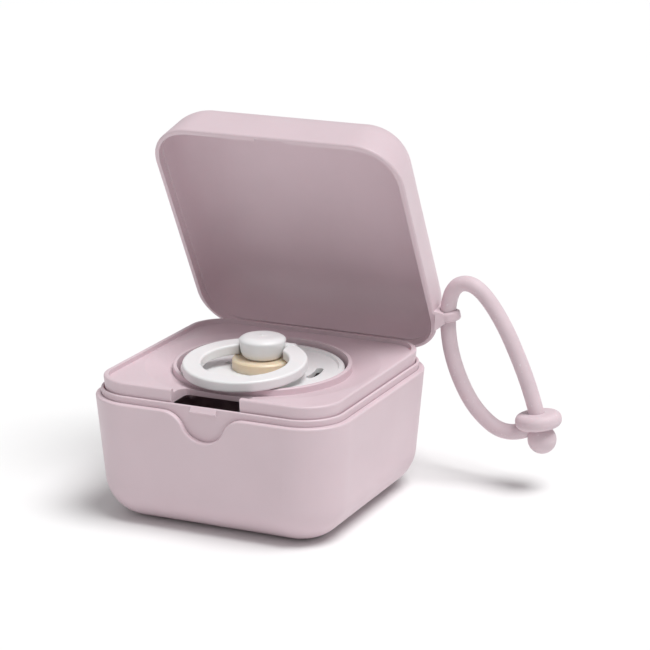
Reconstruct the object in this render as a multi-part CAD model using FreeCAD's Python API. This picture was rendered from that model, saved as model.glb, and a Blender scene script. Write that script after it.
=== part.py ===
import FreeCAD, Part
import math
import os

# A pacifier in its open carrying case, in millimetres.
# X runs along the front of the case, Y runs back to the hinge, Z is up.
# The case stands on z = 0 and is centred on x = y = 0.
# Everything is placed as it rests: lid part open, pacifier seated, handle down.

# ---- outer case: a round-cornered tub that narrows a little towards its base
CASE_HALF = 35.3
CASE_CORNER = 12.6
RIM_Z = 32.8
DRAFT = 2.3
BASE_EDGE = 11.4
CASE_WALL = 1.5
CASE_FLOOR = 1.6
CASE_EDGE_IN = 9.9
RIM_EDGE = 0.45

# thumb dip in the front rim: two blends and one round bottom, all tangent
DIP_HALF = 11.2
DIP_DEPTH = 7.4
DIP_BOTTOM_R = 6.2

# ---- inner tub: its neck stands above the outer rim and shows in the dip
TUB_INSET = 1.6
NECK_WALL = 0.8
TUB_WALL = 1.8
NECK_Z = 34.6
NECK_EDGE = 0.3
TUB_BOTTOM_Z = 1.7
TUB_FLOOR_Z = 3.2
TUB_EDGE_OUT = 9.8
TUB_EDGE_IN = 8.0
LEDGE_Z = 27.8
CATCH_HALF = 3.6
CATCH_OUT = 0.85
CATCH_LOW_Z = 32.95

# ---- tray: closes the tub and holds the pacifier in a round recess
TRAY_INSET = 2.6
TRAY_WALL = 1.4
TRAY_BOTTOM_Z = 27.9
TRAY_LIP_Z = 37.9
TRAY_LIP_WIDE = 1.35
TRAY_FACE_Z = 36.8
TRAY_EDGE = 0.5
DISH_Z = 35.3
DISH_R = 30.8
PLATE_UNDER_Z = 34.2
COLLAR_TOP_Z = 37.35
COLLAR_LEAN = 1.15
COLLAR_EDGE = 0.3
RECESS_OUT_R = 23.4
RECESS_IN_R = 22.4
CUP_R = 23.6
CUP_UNDER_Z = 32.2
SEAT_Z = 33.4
SEAT_R = 19.5
NOTCH_HALF = 9.6
NOTCH_BACK_Y = -24.5
NOTCH_CORNER = 1.2
NOTCH_UNDER_Y = -19.0
NOTCH_Z = 31.5

# ---- hinge
HINGE_Y = 37.2
HINGE_Z = 30.5
KNUCKLE_R = 2.5
PIN_R = 1.0
PIN_PLAY = 0.05
HINGE_HALF = 22.0
LID_KNUCKLE_HALF = 11.8
KNUCKLE_GAP = 0.3

# ---- lid, drawn shut and then turned about the hinge
LID_OPEN_DEG = 61.3
LID_Z = 33.0
LID_HIGH = 17.4
LID_MID = -0.4
LID_HALF = 35.7
LID_CORNER = 12.3
LID_DRAFT = 0.155
LID_CROWN_R = 12.0
HOLLOW_HALF = 34.05
HOLLOW_CORNER = 9.6
HOLLOW_DRAFT = 0.1
HOLLOW_CROWN_R = 9.3
LID_TOP_WALL = 2.4
LIP_EDGE = 0.6
REBATE_HALF = 34.3
REBATE_CORNER = 11.1
REBATE_DEEP = 2.3
CATCH_POCKET_DEEP = 0.55
CATCH_POCKET_HALF = 4.2

# ---- lug on the side of the lid, and the loop strap that goes through it
LUG_X = 37.8
LUG_Y = 35.4
LUG_Z = 45.2
LUG_HIGH = 2.7
LUG_R = 3.3
LUG_ROOT_X = 34.2
LUG_ROOT_HALF = 4.6
LUG_ROOT_HIGH = 6.4
LUG_HOLE_R = 2.3
LUG_EDGE = 0.8
LUG_TILT = 12.0
CORD_R = 2.1
STRAP_ROUTE = [
    (60.3, 16.4),
    (54.7, 13.9),
    (46.0, 19.8),
    (40.5, 29.4),
    (37.7, 39.4),
    (37.7, 50.4),
    (40.9, 55.0),
    (46.4, 54.2),
    (53.0, 45.9),
    (58.7, 34.3),
    (62.5, 24.4),
    (64.6, 16.6),
]
EYELET_X = 63.8
EYELET_Z = 19.6
EYELET_R = 6.2
EYELET_HIGH = 4.0
EYELET_EDGE = 1.75
EYELET_TILT = 7.5
NECK_END_X = 61.6
NECK_END_Z = 19.4
BALL_X = 64.95
BALL_Z = 14.4
BALL_R = 3.85

# ---- pacifier
SHIELD_R = 21.4
SHIELD_LOW_Z = 33.5
SHIELD_UNDER_Z = 34.6
SHIELD_FACE_Z = 35.9
SHIELD_RIM_Z = 36.5
SHIELD_RIM_WIDE = 1.8
SHIELD_HOLE_R = 6.5
VENT_R = 15.0
VENT_WIDE = 2.0
VENT_HALF_DEG = 14.0
VENT_FIRST_DEG = 4.0
DRAIN_X = 9.9
DRAIN_R = 0.85
COLLAR_R = 8.0
COLLAR_LOW_Z = 35.95
TEAT_NECK_R = 5.6
TEAT_NECK_Z = 27.0
TEAT_BULB_R = 8.4
TEAT_BULB_Z = 16.5
TEAT_WALL = 1.1
KNOB_LOW_Z = 38.75
KNOB_SIDE = [
    (4.2, 38.75),
    (5.1, 39.3),
    (5.65, 40.4),
    (5.9, 41.8),
    (6.12, 43.1),
    (6.1, 43.65),
    (5.75, 44.05),
    (4.2, 44.6),
    (0.0, 44.95),
]
STEM_R = 2.9
PLUG_R = 4.9
PLUG_LOW_Z = 31.6
PLUG_HIGH_Z = 34.4
PIVOT_Y = 3.3
PIVOT_Z = 40.6
BAR_R = 1.3
BAR_PLAY = 0.1
BOSS_R = 1.75
BOSS_IN_X = 5.15
BOSS_PLAY = 0.2
HANDLE_R = 13.74
HANDLE_WIDE = 4.84
HANDLE_THICK = 2.9
HANDLE_EDGE = 0.6
HANDLE_TILT = 4.7
HANDLE_GAP_HALF = 6.4

# boxes that only cut reach this far past everything they cut
FAR = 60.0

V = FreeCAD.Vector
SLOPE = DRAFT / RIM_Z
X_AXIS = V(1, 0, 0)
Y_AXIS = V(0, 1, 0)
Z_AXIS = V(0, 0, 1)


def box(x0, x1, y0, y1, z0, z1):
    return Part.makeBox(x1 - x0, y1 - y0, z1 - z0, V(x0, y0, z0))


def upright(radius, z0, z1, x=0.0, y=0.0):
    """A cylinder that stands on z0."""
    return Part.makeCylinder(radius, z1 - z0, V(x, y, z0), Z_AXIS)


def across(radius, x0, x1, y, z):
    """A cylinder that lies along X."""
    return Part.makeCylinder(radius, x1 - x0, V(x0, y, z), X_AXIS)


def turned(outline):
    """The solid that a closed outline of (radius, z) points sweeps about the Z axis."""
    points = [V(r, 0, z) for r, z in outline]
    face = Part.Face(Part.makePolygon(points + points[:1]))
    return face.revolve(V(0, 0, 0), Z_AXIS, 360)


def rounded_square(half, corner, z):
    """A closed square wire with round corners, at height z."""
    flat = half - corner
    bulge = flat + corner * math.sqrt(0.5)
    edges = []
    for quarter in range(4):
        turn = FreeCAD.Rotation(Z_AXIS, 90 * quarter)
        start = turn.multVec(V(half, -flat, z))
        end = turn.multVec(V(half, flat, z))
        middle = turn.multVec(V(bulge, bulge, z))
        after = turn.multVec(V(flat, half, z))
        edges.append(Part.LineSegment(start, end).toShape())
        edges.append(Part.Arc(end, middle, after).toShape())
    return Part.Wire(edges)


def at_level(shape, z):
    """The edges that lie flat at height z."""
    return [e for e in shape.Edges if abs(e.BoundBox.ZMin - z) < 0.01 and abs(e.BoundBox.ZMax - z) < 0.01]


def tapered_block(inset, z_low, z_high, low_edge=0.0):
    """The case's outline moved in by inset, between two heights, with its low edge rounded."""
    wires = []
    for z in (z_low, z_high):
        half = CASE_HALF - inset - SLOPE * (RIM_Z - z)
        wires.append(rounded_square(half, CASE_CORNER - inset, z))
    block = Part.makeLoft(wires, True, True)
    if low_edge:
        block = block.makeFillet(low_edge, at_level(block, z_low))
    return block


def lid_block(half, corner, draft, z_low, z_high, high_edge):
    """A rounded square as wide as half at the lid's lip, narrowing upwards, its high edge rounded."""
    wires = []
    for z in (z_low, z_high):
        wires.append(rounded_square(half - draft * (z - LID_Z), corner, z))
    block = Part.makeLoft(wires, True, True)
    block = block.makeFillet(high_edge, at_level(block, z_high))
    block.translate(V(LID_MID, LID_MID, 0))
    return block


def thumb_dip():
    """The dip's solid: round bottom and rim blends that meet at one slope."""
    blend_r = (DIP_HALF ** 2 + DIP_DEPTH ** 2) / (2 * DIP_DEPTH) - DIP_BOTTOM_R
    centre_z = RIM_Z - DIP_DEPTH + DIP_BOTTOM_R
    blend_z = RIM_Z - blend_r
    slope = math.atan2(centre_z - blend_z, DIP_HALF)
    meet_x = DIP_BOTTOM_R * math.cos(slope)
    meet_z = centre_z - DIP_BOTTOM_R * math.sin(slope)
    half_turn = (slope + math.pi / 2) / 2
    blend_x = DIP_HALF - blend_r * math.cos(half_turn)
    blend_mid_z = blend_z + blend_r * math.sin(half_turn)
    left = V(-DIP_HALF, -FAR, RIM_Z)
    right = V(DIP_HALF, -FAR, RIM_Z)
    low_left = V(-meet_x, -FAR, meet_z)
    low_right = V(meet_x, -FAR, meet_z)
    bottom = V(0, -FAR, RIM_Z - DIP_DEPTH)
    high_left = V(-DIP_HALF, -FAR, FAR)
    high_right = V(DIP_HALF, -FAR, FAR)
    edges = [
        Part.Arc(left, V(-blend_x, -FAR, blend_mid_z), low_left).toShape(),
        Part.Arc(low_left, bottom, low_right).toShape(),
        Part.Arc(low_right, V(blend_x, -FAR, blend_mid_z), right).toShape(),
        Part.LineSegment(right, high_right).toShape(),
        Part.LineSegment(high_right, high_left).toShape(),
        Part.LineSegment(high_left, left).toShape(),
    ]
    return Part.Face(Part.Wire(edges)).extrude(V(0, FAR, 0))


def case_knuckle(x0, x1):
    """One of the case's two hinge knuckles, with the web that carries it."""
    wall_y = CASE_HALF - CASE_WALL / 2
    profile = [
        V(x0, wall_y, HINGE_Z - 2.2 * KNUCKLE_R),
        V(x0, HINGE_Y + 0.6 * KNUCKLE_R, HINGE_Z - 0.8 * KNUCKLE_R),
        V(x0, HINGE_Y, HINGE_Z + 0.6 * KNUCKLE_R),
        V(x0, wall_y, HINGE_Z + 0.6 * KNUCKLE_R),
    ]
    web = Part.Face(Part.makePolygon(profile + profile[:1])).extrude(V(x1 - x0, 0, 0))
    return across(KNUCKLE_R, x0, x1, HINGE_Y, HINGE_Z).fuse(web)


def make_outer_case():
    shell = tapered_block(0, 0, RIM_Z, BASE_EDGE)
    shell = shell.cut(tapered_block(CASE_WALL, CASE_FLOOR, RIM_Z + 5, CASE_EDGE_IN))
    shell = shell.cut(thumb_dip())
    shell = shell.makeFillet(RIM_EDGE, outer_rim(shell))
    inner_start = LID_KNUCKLE_HALF + KNUCKLE_GAP
    for x0, x1 in ((-HINGE_HALF, -inner_start), (inner_start, HINGE_HALF)):
        shell = shell.fuse(case_knuckle(x0, x1))
    relief_half = LID_KNUCKLE_HALF + KNUCKLE_GAP
    relief = across(KNUCKLE_R + KNUCKLE_GAP, -relief_half, relief_half, HINGE_Y, HINGE_Z)
    shell = shell.cut(relief)
    return shell.cut(across(PIN_R, -HINGE_HALF, HINGE_HALF, HINGE_Y, HINGE_Z))


def outer_rim(shell):
    """The edges where the rim's top and the thumb dip meet the case's outer wall."""
    wall = tapered_block(CASE_WALL / 2, -1, RIM_Z + 1)
    edges = []
    for e in shell.Edges:
        middle = e.valueAt((e.FirstParameter + e.LastParameter) / 2)
        if e.BoundBox.ZMin > RIM_Z - DIP_DEPTH - 0.5 and not wall.isInside(middle, 0.01, True):
            edges.append(e)
    return edges


def make_inner_tub():
    tub = tapered_block(TUB_INSET, TUB_BOTTOM_Z, NECK_Z, TUB_EDGE_OUT)
    tub = tub.cut(tapered_block(TUB_INSET + NECK_WALL, LEDGE_Z, NECK_Z + 5))
    tub = tub.cut(tapered_block(TUB_INSET + TUB_WALL, TUB_FLOOR_Z, LEDGE_Z + 1, TUB_EDGE_IN))
    tub = tub.makeFillet(NECK_EDGE, at_level(tub, NECK_Z))
    face_y = TUB_INSET - CASE_HALF
    inside_y = face_y + NECK_WALL / 2
    wedge = [
        V(-CATCH_HALF, inside_y, CATCH_LOW_Z),
        V(-CATCH_HALF, face_y - CATCH_OUT / 2, CATCH_LOW_Z),
        V(-CATCH_HALF, face_y - CATCH_OUT, CATCH_LOW_Z + CATCH_OUT / 2),
        V(-CATCH_HALF, face_y - 0.05, NECK_Z - 0.1),
        V(-CATCH_HALF, inside_y, NECK_Z - 0.1),
    ]
    catch = Part.Face(Part.makePolygon(wedge + wedge[:1])).extrude(V(2 * CATCH_HALF, 0, 0))
    return tub.fuse(catch).removeSplitter()


def finger_notch():
    """The rectangular notch at the tray's front, with round inner corners."""
    notch = box(-NOTCH_HALF, NOTCH_HALF, -FAR, NOTCH_BACK_Y, NOTCH_Z, FAR)
    corners = []
    for e in notch.Edges:
        if abs(e.BoundBox.YMin - NOTCH_BACK_Y) < 0.01 and e.BoundBox.ZLength > 1:
            corners.append(e)
    return notch.makeFillet(NOTCH_CORNER, corners)


def collar():
    """The raised ring round the shield's recess, its top leaning to the front to clear the handle."""
    ring = upright(RECESS_OUT_R, DISH_Z - 0.5, FAR)
    above = box(-FAR, FAR, -FAR, FAR, COLLAR_TOP_Z, 2 * FAR)
    above.rotate(V(0, 0, COLLAR_TOP_Z), X_AXIS, COLLAR_LEAN)
    ring = ring.cut(above)
    top_edges = [e for e in ring.Edges if e.BoundBox.ZMin > DISH_Z + 1 and e.BoundBox.YLength > 1]
    return ring.makeFillet(COLLAR_EDGE, top_edges)


def make_tray():
    tray = tapered_block(TRAY_INSET, TRAY_BOTTOM_Z, TRAY_LIP_Z)
    tray = tray.makeFillet(TRAY_EDGE, at_level(tray, TRAY_LIP_Z))
    under = tapered_block(TRAY_INSET + TRAY_WALL, TRAY_BOTTOM_Z - 1, PLATE_UNDER_Z)
    under = under.cut(upright(CUP_R, CUP_UNDER_Z, FAR))
    top = tapered_block(TRAY_INSET + TRAY_LIP_WIDE, TRAY_FACE_Z, TRAY_LIP_Z + 1)
    run = (DISH_R - RECESS_OUT_R) / (TRAY_FACE_Z - DISH_Z)
    over = TRAY_LIP_Z - TRAY_FACE_Z
    dish = Part.makeCone(RECESS_OUT_R, DISH_R + run * over, TRAY_LIP_Z - DISH_Z, V(0, 0, DISH_Z))
    dish = dish.common(upright(DISH_R, DISH_Z, TRAY_FACE_Z + 0.01))
    tray = tray.cut(under)
    tray = tray.cut(top.fuse(dish)).fuse(collar())
    tray = tray.cut(upright(RECESS_IN_R, SEAT_Z, FAR))
    tray = tray.cut(upright(SEAT_R, 0, FAR))
    way_in = box(-NOTCH_HALF, NOTCH_HALF, -FAR, NOTCH_UNDER_Y, NOTCH_Z, PLATE_UNDER_Z)
    return tray.cut(finger_notch()).cut(way_in)


def opened(shape):
    """A piece of the lid, turned from shut to its resting angle."""
    shape = shape.copy()
    shape.rotate(V(0, HINGE_Y, HINGE_Z), X_AXIS, -LID_OPEN_DEG)
    return shape


def lid_knuckle():
    """The lid's one knuckle and the arm that carries it, drawn shut."""
    half = LID_KNUCKLE_HALF
    high_z = LID_Z + 3.0
    arm = box(-half, half, CASE_HALF + 0.25, HINGE_Y + 0.6 * KNUCKLE_R, HINGE_Z, high_z)
    root = box(-half, half, REBATE_HALF + LID_MID + 0.1, HINGE_Y, LID_Z + LIP_EDGE, high_z)
    return arm.fuse(root).fuse(across(KNUCKLE_R, -half, half, HINGE_Y, HINGE_Z))


def lug_section(x, half_wide, half_high):
    """An upright rectangle across the lug at x."""
    corners = []
    for side, end in ((-1, -1), (1, -1), (1, 1), (-1, 1)):
        corners.append(V(x, LUG_Y + side * half_wide, LUG_Z + end * half_high))
    return Part.makePolygon(corners + corners[:1])


def lug():
    """The eye on the lid's side, drawn at the lid's resting angle, thicker at its root."""
    z0 = LUG_Z - LUG_HIGH / 2
    root = lug_section(LUG_ROOT_X, LUG_ROOT_HALF, LUG_ROOT_HIGH / 2)
    tip = lug_section(LUG_X, LUG_R, LUG_HIGH / 2)
    plate = upright(LUG_R, z0, z0 + LUG_HIGH, LUG_X, LUG_Y)
    plate = plate.makeFillet(LUG_EDGE, at_level(plate, z0) + at_level(plate, z0 + LUG_HIGH))
    plate = plate.fuse(Part.makeLoft([root, tip], True, True))
    plate.rotate(V(LUG_X, LUG_Y, LUG_Z), Y_AXIS, -LUG_TILT)
    below_rim = opened(box(0, CASE_HALF + 0.3, -FAR, FAR, -FAR, LID_Z))
    return plate.cut(below_rim)


def hollow(inset=0):
    """The space inside the lid, drawn shut; an inset makes it wider for trimming the lug's root."""
    top_z = LID_Z + LID_HIGH - LID_TOP_WALL
    return lid_block(HOLLOW_HALF + inset, HOLLOW_CORNER, HOLLOW_DRAFT, LID_Z - 1, top_z, HOLLOW_CROWN_R)


def make_lid():
    top_z = LID_Z + LID_HIGH
    shell = lid_block(LID_HALF, LID_CORNER, LID_DRAFT, LID_Z, top_z, LID_CROWN_R)
    shell = shell.makeFillet(LIP_EDGE, at_level(shell, LID_Z)).fuse(lid_knuckle())
    rebate_outline = rounded_square(REBATE_HALF, REBATE_CORNER, LID_Z - 1)
    rebate = Part.Face(rebate_outline).extrude(V(0, 0, REBATE_DEEP + 1))
    rebate.translate(V(LID_MID, LID_MID, 0))
    pocket = box(-CATCH_POCKET_HALF, CATCH_POCKET_HALF, LID_MID - REBATE_HALF - CATCH_POCKET_DEEP, 0,
                 LID_Z - 1, LID_Z + REBATE_DEEP)
    shell = shell.cut(hollow().fuse(rebate).fuse(pocket))
    shell = shell.cut(across(PIN_R + PIN_PLAY, -FAR, FAR, HINGE_Y, HINGE_Z))
    eye = lug().cut(opened(hollow(0.5)))
    return opened(shell).fuse(eye).cut(upright(LUG_HOLE_R, 0, FAR, LUG_X, LUG_Y))


def make_hinge_pin():
    return across(PIN_R, -HINGE_HALF + 0.5, HINGE_HALF - 0.5, HINGE_Y, HINGE_Z)


def strap_point(spot):
    return V(spot[0], LUG_Y, spot[1])


def make_strap_cord():
    """Straight runs joined by tangent arcs, each arc as large as its two runs allow."""
    points = [strap_point(p) for p in STRAP_ROUTE]
    edges = []
    at = points[0]
    for i in range(1, len(points) - 1):
        back = points[i - 1] - points[i]
        ahead = points[i + 1] - points[i]
        reach = 0.45 * min(back.Length, ahead.Length)
        turn = math.pi - back.getAngle(ahead)
        radius = reach / math.tan(turn / 2)
        back.normalize()
        ahead.normalize()
        start = points[i] + back * reach
        end = points[i] + ahead * reach
        to_centre = back + ahead
        to_centre.normalize()
        centre = points[i] + to_centre * math.hypot(reach, radius)
        middle = centre - to_centre * radius
        edges.append(Part.LineSegment(at, start).toShape())
        edges.append(Part.Arc(start, middle, end).toShape())
        print("strap bend %d: radius %.1f mm" % (i, radius))
        at = end
    edges.append(Part.LineSegment(at, points[-1]).toShape())
    path = Part.Wire(edges)
    first = points[1] - points[0]
    section = Part.Wire([Part.makeCircle(CORD_R, points[0], first)])
    tube = path.makePipeShell([section], True, False)
    want = math.pi * CORD_R ** 2 * path.Length
    print("strap length %.1f mm, volume %.1f of %.1f" % (path.Length, tube.Volume, want))
    return tube


def make_strap_eyelet(cord):
    """The disc that the strap's far arm passes through, and the neck that joins it to the near arm."""
    disc = Part.makeCylinder(EYELET_R, EYELET_HIGH, V(0, 0, -EYELET_HIGH / 2), Z_AXIS)
    round_edges = at_level(disc, EYELET_HIGH / 2) + at_level(disc, -EYELET_HIGH / 2)
    disc = disc.makeFillet(EYELET_EDGE, round_edges)
    disc.rotate(V(0, 0, 0), Y_AXIS, -EYELET_TILT)
    disc.translate(V(EYELET_X, LUG_Y, EYELET_Z))
    start = strap_point(STRAP_ROUTE[0])
    along = V(NECK_END_X, LUG_Y, NECK_END_Z) - start
    neck = Part.makeCylinder(CORD_R, along.Length, start, along)
    neck = neck.fuse(Part.makeSphere(CORD_R, start))
    eyelet = disc.fuse(neck).cut(Part.makeSphere(BALL_R, V(BALL_X, LUG_Y, BALL_Z)))
    return eyelet.cut(cord)


def make_strap_ball(cord):
    return Part.makeSphere(BALL_R, V(BALL_X, LUG_Y, BALL_Z)).cut(cord)


def vent(middle_deg):
    """A curved slot through the shield, about one direction from its centre."""
    band = upright(VENT_R + VENT_WIDE / 2, 0, FAR).cut(upright(VENT_R - VENT_WIDE / 2, 0, FAR))
    reach = 2 * VENT_R
    spread = reach * math.tan(math.radians(VENT_HALF_DEG))
    corners = [V(0, 0, 0), V(reach, -spread, 0), V(reach, spread, 0)]
    wedge = Part.Face(Part.makePolygon(corners + corners[:1])).extrude(V(0, 0, FAR))
    slot = band.common(wedge)
    for end in (-1, 1):
        angle = math.radians(end * VENT_HALF_DEG)
        slot = slot.fuse(upright(VENT_WIDE / 2, 0, FAR, VENT_R * math.cos(angle), VENT_R * math.sin(angle)))
    slot.rotate(V(0, 0, 0), Z_AXIS, middle_deg)
    return slot


def make_shield():
    rim_in = SHIELD_R - SHIELD_RIM_WIDE
    shield = turned([
        (SHIELD_HOLE_R, SHIELD_UNDER_Z),
        (rim_in, SHIELD_UNDER_Z),
        (rim_in + 0.3, SHIELD_LOW_Z),
        (SHIELD_R - 0.5, SHIELD_LOW_Z),
        (SHIELD_R, SHIELD_LOW_Z + 0.5),
        (SHIELD_R, SHIELD_RIM_Z - 0.4),
        (SHIELD_R - 0.4, SHIELD_RIM_Z),
        (rim_in + 0.4, SHIELD_RIM_Z),
        (rim_in, SHIELD_FACE_Z),
        (SHIELD_HOLE_R, SHIELD_FACE_Z),
    ])
    for turn in (0, 120, 240):
        shield = shield.cut(vent(VENT_FIRST_DEG + turn))
    for side in (-1, 1):
        shield = shield.cut(upright(DRAIN_R, 0, FAR, side * DRAIN_X))
    return shield


def make_teat():
    """The latex teat: a collar above the shield, a neck through it and a hollow bulb below."""
    hole = STEM_R
    outside = turned([
        (0, COLLAR_LOW_Z - 5),
        (0, KNOB_LOW_Z - 0.05),
        (COLLAR_R - 0.4, KNOB_LOW_Z - 0.05),
        (COLLAR_R, KNOB_LOW_Z - 0.45),
        (COLLAR_R, COLLAR_LOW_Z),
        (SHIELD_HOLE_R - 0.1, COLLAR_LOW_Z),
        (SHIELD_HOLE_R - 0.1, SHIELD_UNDER_Z - 0.05),
        (SHIELD_HOLE_R + 1.2, SHIELD_UNDER_Z - 0.05),
        (SHIELD_HOLE_R + 1.2, SHIELD_UNDER_Z - 1.2),
        (TEAT_NECK_R, COLLAR_LOW_Z - 5),
    ])
    outside = outside.fuse(upright(TEAT_NECK_R, TEAT_NECK_Z, COLLAR_LOW_Z - 5))
    outside = outside.fuse(teat_bulb(0))
    inside = upright(TEAT_NECK_R - TEAT_WALL + 0.45, TEAT_NECK_Z, PLUG_HIGH_Z)
    inside = inside.fuse(teat_bulb(TEAT_WALL))
    return outside.cut(inside).cut(upright(hole, PLUG_HIGH_Z - 1, FAR))


def teat_bulb(skin):
    """The bulb with its skin taken off: an egg that runs up into the neck."""
    radius = TEAT_BULB_R - skin
    bulb = Part.makeSphere(radius, V(0, 0, TEAT_BULB_Z))
    rise = TEAT_NECK_Z - TEAT_BULB_Z
    return bulb.fuse(Part.makeCone(radius * 0.98, TEAT_NECK_R - skin, rise, V(0, 0, TEAT_BULB_Z)))


def make_plug():
    """The disc inside the teat that the knob's stem snaps into."""
    plug = upright(PLUG_R, PLUG_LOW_Z, PLUG_HIGH_Z - 0.05)
    return plug.cut(upright(STEM_R, PLUG_LOW_Z + 1.0, FAR))


def make_knob():
    """The knob: a smooth turned side and crown, a stem, and the handle's pivot through it."""
    side = [V(r, 0, z) for r, z in KNOB_SIDE]
    curve = Part.BSplineCurve()
    curve.interpolate(side)
    foot = Part.makePolygon([side[-1], V(0, 0, KNOB_LOW_Z), side[0]])
    profile = Part.Wire([curve.toShape()] + foot.Edges)
    knob = Part.Face(profile).revolve(V(0, 0, 0), Z_AXIS, 360)
    knob = knob.fuse(upright(STEM_R, PLUG_LOW_Z + 1.0, KNOB_LOW_Z + 1.0))
    for x0, x1 in ((-FAR, -BOSS_IN_X + BOSS_PLAY), (BOSS_IN_X - BOSS_PLAY, FAR)):
        knob = knob.cut(across(BOSS_R + BOSS_PLAY, x0, x1, PIVOT_Y, PIVOT_Z))
    return knob.cut(across(BAR_R + BAR_PLAY, -FAR, FAR, PIVOT_Y, PIVOT_Z))


def make_handle():
    """The handle: a round-edged ring, open at the knob, with a boss each side and a bar through it."""
    outer = HANDLE_R + HANDLE_WIDE / 2
    inner = HANDLE_R - HANDLE_WIDE / 2
    ring = upright(outer, -HANDLE_THICK / 2, HANDLE_THICK / 2)
    ring = ring.cut(upright(inner, -FAR, FAR))
    edges = at_level(ring, -HANDLE_THICK / 2) + at_level(ring, HANDLE_THICK / 2)
    ring = ring.makeFillet(HANDLE_EDGE, edges)
    ring.translate(V(0, -HANDLE_R, 0))
    ring = ring.cut(box(-HANDLE_GAP_HALF, HANDLE_GAP_HALF, -HANDLE_R, FAR, -FAR, FAR))
    boss_end = HANDLE_GAP_HALF + 1.2
    for x0, x1 in ((-boss_end, -BOSS_IN_X), (BOSS_IN_X, boss_end)):
        ring = ring.fuse(across(BOSS_R, x0, x1, 0, 0))
    ring = ring.fuse(across(BAR_R, -boss_end, boss_end, 0, 0))
    ring.rotate(V(0, 0, 0), X_AXIS, HANDLE_TILT)
    ring.translate(V(0, PIVOT_Y, PIVOT_Z))
    return ring


def main():
    cord = make_strap_cord()
    parts = {
        "outer_case": make_outer_case(),
        "inner_tub": make_inner_tub(),
        "insert_tray": make_tray(),
        "lid_shell": make_lid(),
        "hinge_pin": make_hinge_pin(),
        "strap_cord": cord,
        "strap_eyelet": make_strap_eyelet(cord),
        "strap_ball": make_strap_ball(cord),
        "pacifier_shield": make_shield(),
        "pacifier_teat": make_teat(),
        "pacifier_plug": make_plug(),
        "pacifier_knob": make_knob(),
        "pacifier_handle": make_handle(),
    }
    os.makedirs("parts", exist_ok=True)
    for name, shape in parts.items():
        b = shape.BoundBox
        print("%-16s solids %d valid %s volume %.1f  x %.2f..%.2f  y %.2f..%.2f  z %.2f..%.2f" % (
            name, len(shape.Solids), shape.isValid(), shape.Volume,
            b.XMin, b.XMax, b.YMin, b.YMax, b.ZMin, b.ZMax))
        shape.exportStep("parts/%s.step" % name)


main()
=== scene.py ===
import math

import bpy
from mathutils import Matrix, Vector


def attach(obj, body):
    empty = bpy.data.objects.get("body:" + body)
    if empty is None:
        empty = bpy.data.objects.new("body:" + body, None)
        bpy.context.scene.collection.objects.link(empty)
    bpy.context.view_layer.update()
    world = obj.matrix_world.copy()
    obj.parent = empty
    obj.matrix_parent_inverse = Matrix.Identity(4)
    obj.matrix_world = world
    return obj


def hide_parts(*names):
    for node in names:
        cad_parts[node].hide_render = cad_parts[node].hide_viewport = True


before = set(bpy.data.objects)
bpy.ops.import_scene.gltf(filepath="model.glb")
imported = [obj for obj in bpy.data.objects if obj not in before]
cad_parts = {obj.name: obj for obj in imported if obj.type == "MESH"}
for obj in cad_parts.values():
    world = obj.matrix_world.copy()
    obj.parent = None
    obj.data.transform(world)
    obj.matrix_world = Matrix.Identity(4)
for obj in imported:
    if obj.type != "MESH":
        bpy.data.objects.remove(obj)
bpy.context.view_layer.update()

# ---- camera, at the photograph's viewing angle
AIM = Vector((0.01787, 0.0, 0.04948))
AZIMUTH = math.radians(24.58)
ELEVATION = math.radians(15.86)
DISTANCE = 0.659
LENS = 142.2
SENSOR_WIDTH = 36.0


def make_camera():
    flat = math.cos(ELEVATION)
    away = Vector((math.sin(AZIMUTH) * flat, -math.cos(AZIMUTH) * flat, math.sin(ELEVATION)))
    data = bpy.data.cameras.new("camera")
    data.lens = LENS
    data.sensor_width = SENSOR_WIDTH
    camera = bpy.data.objects.new("camera", data)
    camera.location = AIM + away * DISTANCE
    camera.rotation_euler = away.to_track_quat("Z", "Y").to_euler()
    bpy.context.scene.collection.objects.link(camera)
    bpy.context.scene.camera = camera


make_camera()

# ---- the strap's cord: the route's (x, z) points lie in one upright plane behind the lug
STRAP_Y = 0.0354
CORD_R = 0.0021
STRAP_ROUTE = [
    (0.0603, 0.0164),
    (0.0547, 0.0139),
    (0.0460, 0.0198),
    (0.0405, 0.0294),
    (0.0377, 0.0394),
    (0.0377, 0.0504),
    (0.0409, 0.0550),
    (0.0464, 0.0542),
    (0.0530, 0.0459),
    (0.0587, 0.0343),
    (0.0625, 0.0244),
    (0.0646, 0.0166),
]


def strap_curve():
    """The cord as an open curve, from under the eyelet round the loop and down through the eyelet."""
    data = bpy.data.curves.new("strap", "CURVE")
    data.dimensions = "3D"
    # the thickness is in the points' radius, because a curve's bounding box counts that radius in full
    data.bevel_depth = 1.0
    data.bevel_resolution = 8
    data.resolution_u = 24
    data.use_fill_caps = True
    spline = data.splines.new("NURBS")
    spline.points.add(len(STRAP_ROUTE) - 1)
    for point, (x, z) in zip(spline.points, STRAP_ROUTE):
        point.co = (x, STRAP_Y, z, 1.0)
        point.radius = CORD_R
    spline.order_u = 3
    spline.use_endpoint_u = True
    return data


def make_strap():
    strap = bpy.data.objects.new("strap", strap_curve())
    bpy.context.scene.collection.objects.link(strap)
    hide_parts("strap_cord")
    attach(strap, "strap")
    return strap


strap = make_strap()

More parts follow.
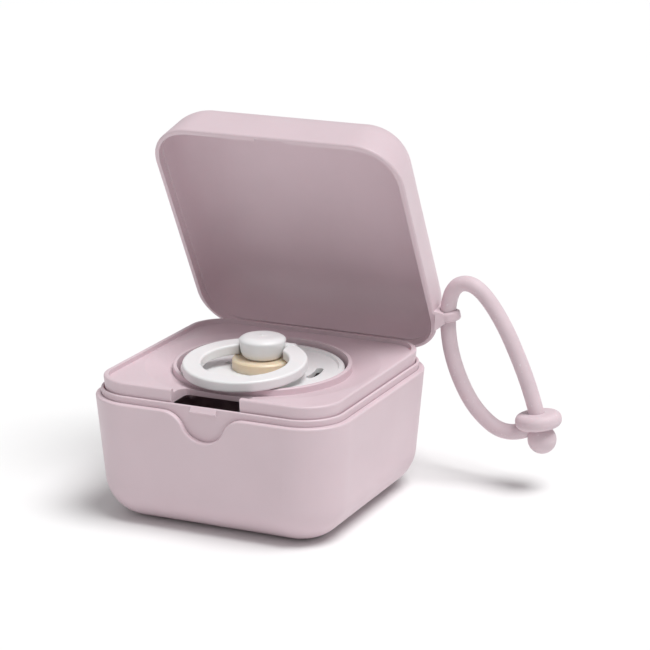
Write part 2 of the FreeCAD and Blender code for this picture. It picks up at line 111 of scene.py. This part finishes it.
# ---- colours, in linear light, and how far the plastic's colour strays from its own
CASE_PINK = (0.70, 0.562, 0.607)
PACIFIER_WHITE = (0.84, 0.835, 0.84)
SILICONE_LOW = (0.65, 0.53, 0.57)
SILICONE_HIGH = (0.70, 0.575, 0.615)
LINT = (0.86, 0.82, 0.83)
LATEX_BROWN = (0.74, 0.60, 0.43)
LATEX_CREAM = (0.83, 0.70, 0.53)
STEEL_DARK = (0.46, 0.46, 0.47)
STEEL_BRIGHT = (0.62, 0.62, 0.62)
MOTTLE_SHADE = 0.965
# how much brighter than the colour the edges' grey is: rubbed wear and a painted edge highlight
EDGE_WEAR_AND_HIGHLIGHT_BRIGHTNESS = 1.06
POLYPROPYLENE_IOR = 1.49


# ---- materials: every texture is worked out in the model's own space, in metres
def new_material(name):
    """A new material: its node tree, its shader, and the place that textures are read at."""
    material = bpy.data.materials.new(name)
    material.use_nodes = True
    tree = material.node_tree
    place = tree.nodes.new("ShaderNodeTexCoord").outputs["Object"]
    return material, tree, tree.nodes["Principled BSDF"], place


def noise(tree, place, grain_size, detail=2.0):
    """Smooth random values between 0 and 1 whose blobs are about grain_size across."""
    texture = tree.nodes.new("ShaderNodeTexNoise")
    texture.inputs["Scale"].default_value = 1.0 / grain_size
    texture.inputs["Detail"].default_value = detail
    tree.links.new(place, texture.inputs["Vector"])
    return texture.outputs["Fac"]


def stretched(tree, place, factors):
    """The same place scaled by one factor for each axis: a small factor draws the blobs out."""
    mapping = tree.nodes.new("ShaderNodeMapping")
    mapping.inputs["Scale"].default_value = factors
    tree.links.new(place, mapping.inputs["Vector"])
    return mapping.outputs["Vector"]


def spread(tree, value, low, high, from_low=0.3, from_high=0.7):
    """Maps the range from_low to from_high, which noise mostly keeps to, onto low to high."""
    mapped = tree.nodes.new("ShaderNodeMapRange")
    mapped.inputs["From Min"].default_value = from_low
    mapped.inputs["From Max"].default_value = from_high
    mapped.inputs["To Min"].default_value = low
    mapped.inputs["To Max"].default_value = high
    tree.links.new(value, mapped.inputs["Value"])
    return mapped.outputs["Result"]


def two_tone(tree, value, first, second):
    """The first colour at 0 and the second at 1, blended by value."""
    ramp = tree.nodes.new("ShaderNodeValToRGB")
    ramp.color_ramp.elements[0].color = (*first, 1.0)
    ramp.color_ramp.elements[1].color = (*second, 1.0)
    tree.links.new(value, ramp.inputs["Fac"])
    return ramp.outputs["Color"]


def toward(tree, colour, value, tint):
    """Moves a colour towards tint, and reaches it where value is 1."""
    mix = tree.nodes.new("ShaderNodeMix")
    mix.data_type = "RGBA"
    mix.inputs["B"].default_value = (*tint, 1.0)
    tree.links.new(value, mix.inputs["Factor"])
    tree.links.new(colour, mix.inputs["A"])
    return mix.outputs["Result"]


def times(tree, first, second):
    """The product of two values."""
    product = tree.nodes.new("ShaderNodeMath")
    product.operation = "MULTIPLY"
    tree.links.new(first, product.inputs[0])
    tree.links.new(second, product.inputs[1])
    return product.outputs["Value"]


def edges(tree, radius):
    """1 along outer and inner edges, where rounding them turns the normal, 0 on smooth faces."""
    rounded = tree.nodes.new("ShaderNodeBevel")
    rounded.inputs["Radius"].default_value = radius
    flat = tree.nodes.new("ShaderNodeNewGeometry")
    agree = tree.nodes.new("ShaderNodeVectorMath")
    agree.operation = "DOT_PRODUCT"
    tree.links.new(rounded.outputs["Normal"], agree.inputs[0])
    tree.links.new(flat.outputs["Normal"], agree.inputs[1])
    return spread(tree, agree.outputs["Value"], 1.0, 0.0, from_low=0.85, from_high=0.99)


def raise_surface(tree, shader, heights):
    """Stacks bumps, each a (value, height in metres) pair, on the shader's normal."""
    normal = None
    for value, height in heights:
        bump = tree.nodes.new("ShaderNodeBump")
        bump.inputs["Distance"].default_value = height
        tree.links.new(value, bump.inputs["Height"])
        if normal:
            tree.links.new(normal, bump.inputs["Normal"])
        normal = bump.outputs["Normal"]
    tree.links.new(normal, shader.inputs["Normal"])


def let_light_in(shader, share, depths):
    """Light scatters under this share of the surface, to a depth in metres for red, green and blue."""
    shader.inputs["Subsurface Weight"].default_value = share
    shader.inputs["Subsurface Radius"].default_value = depths
    shader.inputs["Subsurface Scale"].default_value = 1.0


def moulded_plastic(name, colour, roughness, grain_height):
    """Satin polypropylene: a spark-eroded grain, faint mottling, soft sink marks, and edges lighter in
    patches, partly rubbed wear and partly a painted highlight.
    """
    material, tree, shader, place = new_material(name)
    darker = tuple(MOTTLE_SHADE * c for c in colour)
    # halfway to a grey that is a little brighter than the colour: rubbed wear and a painted highlight
    # along the edges
    paler_worn_and_highlit = tuple(0.5 * c + 0.5 * max(colour) * EDGE_WEAR_AND_HIGHLIGHT_BRIGHTNESS for c in colour)
    mottling = spread(tree, noise(tree, place, grain_size=0.016, detail=4.0), 0.0, 1.0)
    patchy = spread(tree, noise(tree, place, grain_size=0.004, detail=3.0), 0.1, 0.5)
    # the edges turn paler in patches: partly rubbed wear, partly a painted highlight along outer and
    # inner edges
    rubbed_and_highlit = times(tree, edges(tree, radius=0.0006), patchy)
    skin = toward(tree, two_tone(tree, mottling, darker, colour), rubbed_and_highlit, paler_worn_and_highlit)
    tree.links.new(skin, shader.inputs["Base Color"])
    handling = noise(tree, place, grain_size=0.009, detail=5.0)
    tree.links.new(spread(tree, handling, roughness - 0.05, roughness + 0.06), shader.inputs["Roughness"])
    sink_marks = noise(tree, place, grain_size=0.018, detail=1.0)
    fine_grain = noise(tree, place, grain_size=0.00022, detail=3.0)
    raise_surface(tree, shader, [(sink_marks, 0.00012), (fine_grain, grain_height)])
    let_light_in(shader, share=0.12, depths=(0.0012, 0.0008, 0.0008))
    shader.inputs["IOR"].default_value = POLYPROPYLENE_IOR
    return material


def natural_latex():
    """Cream rubber that lets light in, cloudier and browner in places, with dip marks round it."""
    material, tree, shader, place = new_material("natural_latex")
    clouds = spread(tree, noise(tree, place, grain_size=0.006, detail=4.0), 0.0, 1.0)
    tree.links.new(two_tone(tree, clouds, LATEX_BROWN, LATEX_CREAM), shader.inputs["Base Color"])
    handling = noise(tree, place, grain_size=0.003)
    tree.links.new(spread(tree, handling, 0.30, 0.42), shader.inputs["Roughness"])
    dip_marks = noise(tree, stretched(tree, place, (0.25, 0.25, 1.0)), grain_size=0.0012)
    fine_grain = noise(tree, place, grain_size=0.0003)
    raise_surface(tree, shader, [(dip_marks, 0.00005), (fine_grain, 0.00001)])
    let_light_in(shader, share=0.4, depths=(0.003, 0.0018, 0.001))
    return material


def soft_silicone():
    """Matte pink silicone: a powdery skin with a few pale specks of lint."""
    material, tree, shader, place = new_material("soft_silicone")
    clouds = spread(tree, noise(tree, place, grain_size=0.007, detail=4.0), 0.0, 1.0)
    skin = two_tone(tree, clouds, SILICONE_LOW, SILICONE_HIGH)
    # only the rare peaks of this noise show, as specks
    peaks = noise(tree, place, grain_size=0.0006, detail=1.0)
    specks = spread(tree, peaks, 0.0, 0.5, from_low=0.70, from_high=0.76)
    tree.links.new(toward(tree, skin, specks, LINT), shader.inputs["Base Color"])
    powder = noise(tree, place, grain_size=0.004)
    tree.links.new(spread(tree, powder, 0.52, 0.66), shader.inputs["Roughness"])
    uneven = noise(tree, place, grain_size=0.0025)
    fine_grain = noise(tree, place, grain_size=0.00025)
    raise_surface(tree, shader, [(uneven, 0.00004), (fine_grain, 0.00001)])
    let_light_in(shader, share=0.15, depths=(0.0015, 0.0009, 0.0009))
    return material


def drawn_wire():
    """The hinge pin's steel, with fine lines along its length."""
    material, tree, shader, place = new_material("drawn_wire")
    lines = noise(tree, stretched(tree, place, (0.02, 1.0, 1.0)), grain_size=0.00015)
    tone = two_tone(tree, spread(tree, lines, 0.0, 1.0), STEEL_DARK, STEEL_BRIGHT)
    tree.links.new(tone, shader.inputs["Base Color"])
    tree.links.new(spread(tree, lines, 0.22, 0.40), shader.inputs["Roughness"])
    raise_surface(tree, shader, [(lines, 0.000008)])
    shader.inputs["Metallic"].default_value = 1.0
    return material


def paint(piece, material):
    """Gives the whole piece one material."""
    piece.data.materials.clear()
    piece.data.materials.append(material)


case_plastic = moulded_plastic("case_plastic", CASE_PINK, roughness=0.42, grain_height=0.000012)
pacifier_plastic = moulded_plastic("pacifier_plastic", PACIFIER_WHITE, roughness=0.34,
                                   grain_height=0.000006)
silicone = soft_silicone()

for name in ("outer_case", "inner_tub", "lid_shell", "insert_tray"):
    paint(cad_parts[name], case_plastic)
for name in ("pacifier_shield", "pacifier_knob", "pacifier_handle", "pacifier_plug"):
    paint(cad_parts[name], pacifier_plastic)
for name in ("strap_eyelet", "strap_ball"):
    paint(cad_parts[name], silicone)
paint(strap, silicone)
paint(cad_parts["pacifier_teat"], natural_latex())
paint(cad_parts["hinge_pin"], drawn_wire())

# ---- floor and light
FLOOR_SIZE = 8.0
FLOOR_WHITE = 0.9
FLOOR_ROUGHNESS = 0.9
WORLD_STRENGTH = 0.40
KEY_FROM = Vector((0.38, -0.06, 1.0))
KEY_STRENGTH = 2.5
KEY_SOFTNESS = math.radians(32.0)


def make_floor():
    bpy.ops.mesh.primitive_plane_add(size=FLOOR_SIZE, location=(0, 0, 0))
    floor = bpy.context.object
    floor.name = "floor"
    material = bpy.data.materials.new("floor")
    material.use_nodes = True
    shader = material.node_tree.nodes["Principled BSDF"]
    shader.inputs["Base Color"].default_value = (FLOOR_WHITE, FLOOR_WHITE, FLOOR_WHITE, 1.0)
    shader.inputs["Roughness"].default_value = FLOOR_ROUGHNESS
    floor.data.materials.append(material)


def make_key_light():
    """One very large soft light, far away, so that the floor is lit evenly."""
    data = bpy.data.lights.new("key", "SUN")
    data.energy = KEY_STRENGTH
    data.angle = KEY_SOFTNESS
    light = bpy.data.objects.new("key", data)
    light.rotation_euler = KEY_FROM.to_track_quat("Z", "Y").to_euler()
    bpy.context.scene.collection.objects.link(light)


def make_world():
    world = bpy.data.worlds.new("world")
    world.use_nodes = True
    background = world.node_tree.nodes["Background"]
    background.inputs["Color"].default_value = (1.0, 1.0, 1.0, 1.0)
    background.inputs["Strength"].default_value = WORLD_STRENGTH
    bpy.context.scene.world = world


make_floor()
make_world()
make_key_light()
bpy.context.scene.view_settings.view_transform = "Standard"
